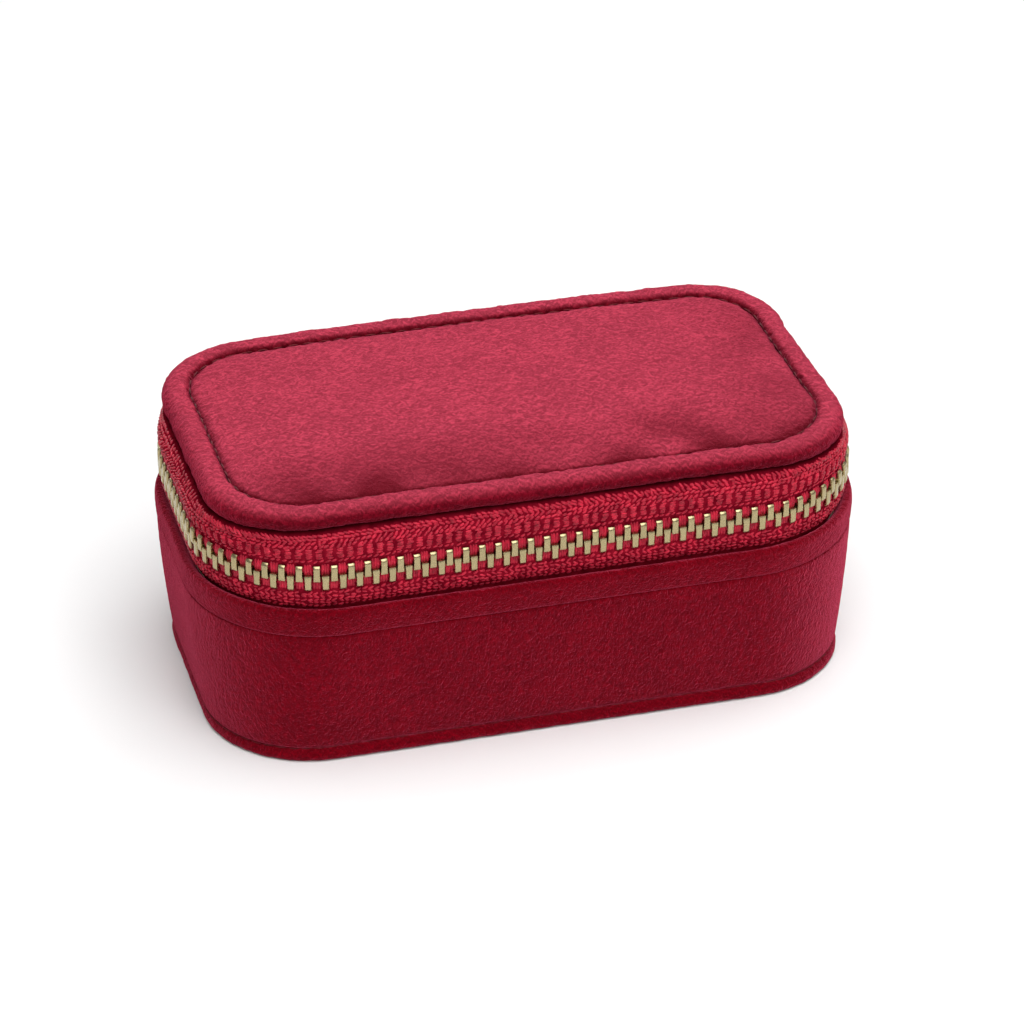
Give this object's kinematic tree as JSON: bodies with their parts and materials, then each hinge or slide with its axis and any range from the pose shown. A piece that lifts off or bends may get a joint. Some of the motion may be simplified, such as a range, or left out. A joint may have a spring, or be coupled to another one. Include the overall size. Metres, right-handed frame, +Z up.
{
  "type": "travel jewelry case",
  "caption": "Small padded velvet case with rounded corners: a zip with metal teeth joins the base to a hinged lid, with ring rolls, compartments and a mirror inside.",
  "frame": {"origin": "middle of the underside, on the surface that the case stands on", "axes": "+Z up, -Y towards the front, +X towards the side that the zip's slider is on when shut, +Y towards the fabric hinge"},
  "size_m": [0.1077, 0.0612, 0.0453],
  "materials": {
    "velvet": "crimson short-pile velvet",
    "lining_velvet": "crimson velvet lining",
    "zip_tape": "herringbone-woven crimson tape",
    "zip_metal": "pale gold, polished",
    "slider_metal": "pale gold, polished die casting",
    "board": "grey-brown packing board",
    "foam": "soft foam wadding",
    "mirror_glass": "silvered glass"
  },
  "bodies": {
    "base": {"base_underside": "velvet", "base_edge_seam": "velvet", "base_cover": "velvet", "base_rim_hem": "velvet", "base_wall_board": "board", "base_bottom_board": "board", "base_lining": "lining_velvet", "base_floor_lining": "lining_velvet", "ring_bed_board": "board", "ring_roll_1": "lining_velvet", "ring_roll_2": "lining_velvet", "ring_roll_3": "lining_velvet", "ring_roll_4": "lining_velvet", "divider_long": "lining_velvet", "divider_cross": "lining_velvet", "lower_zip_tape": "zip_tape", "lower_teeth": "zip_metal", "lower_teeth_right": "zip_metal", "lower_stop_left": "zip_metal", "lower_stop_right": "zip_metal", "hinge_strip": "velvet", "hinge_lining": "lining_velvet"},
    "lid": {"upper_zip_tape": "zip_tape", "upper_teeth": "zip_metal", "upper_teeth_right": "zip_metal", "upper_stop_left": "zip_metal", "upper_stop_right": "zip_metal", "lid_rim": "velvet", "lid_board": "board", "lid_foam_pad": "foam", "lid_cover": "velvet", "lid_lining": "lining_velvet", "lid_wall_lining": "lining_velvet", "mirror": "mirror_glass", "mirror_frame": "lining_velvet"},
    "slider": {"slider_body": "slider_metal"},
    "pull": {"pull_tab": "slider_metal"}
  },
  "joints": [
    {"name": "lid_hinge", "type": "hinge", "parent": "base", "child": "lid", "pos_m": [0, 0.0285, 0.0328], "axis": [-1, 0, 0], "range_deg": [0, 110], "deforming": ["hinge_strip", "hinge_lining"]},
    {"name": "zip_slide", "type": "slide", "parent": "base", "child": "slider", "axis": [0, -1, 0], "range_m": [0, 0.012], "deforming": ["lower_teeth_right", "upper_teeth_right"]},
    {"name": "pull_swing", "type": "hinge", "parent": "slider", "child": "pull", "pos_m": [0.0537, 0.008, 0.0312], "axis": [1, 0, 0], "range_deg": [-90, 90]}
  ]
}
